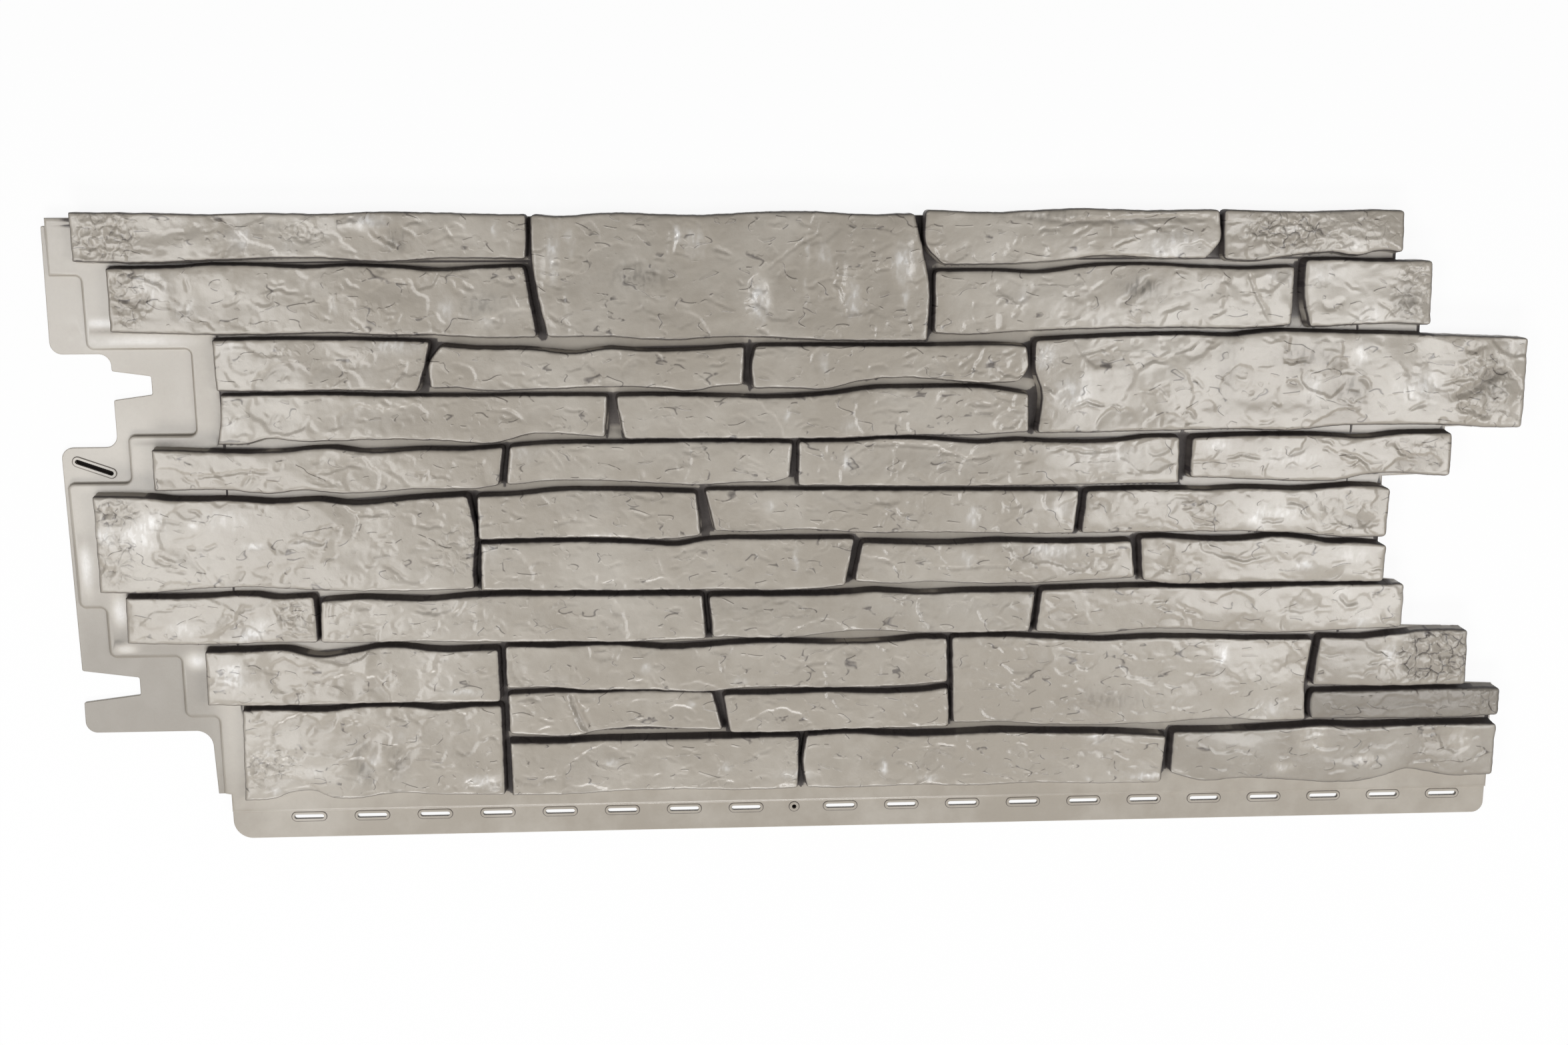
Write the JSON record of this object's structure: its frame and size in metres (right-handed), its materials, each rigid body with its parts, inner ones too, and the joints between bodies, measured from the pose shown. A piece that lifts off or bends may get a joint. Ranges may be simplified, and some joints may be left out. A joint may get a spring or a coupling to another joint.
{
  "type": "stone-look siding panel",
  "caption": "Moulded plastic facade panel with a dry-stone relief face, a stepped interlocking flange at the left and a slotted nail strip along one long edge.",
  "frame": {"origin": "centre of the panel's outline, on the plane that its back rests on", "axes": "+X along the length, from the flange to the plain stepped end; +Y across the panel, away from the nail strip; +Z out of the stone face"},
  "size_m": [1.134, 0.4946, 0.0195],
  "materials": {
    "moulded_plastic": "warm grey-beige moulded plastic with a satin sheen"
  },
  "bodies": {
    "root": {"siding_panel": "moulded_plastic"}
  },
  "joints": []
}
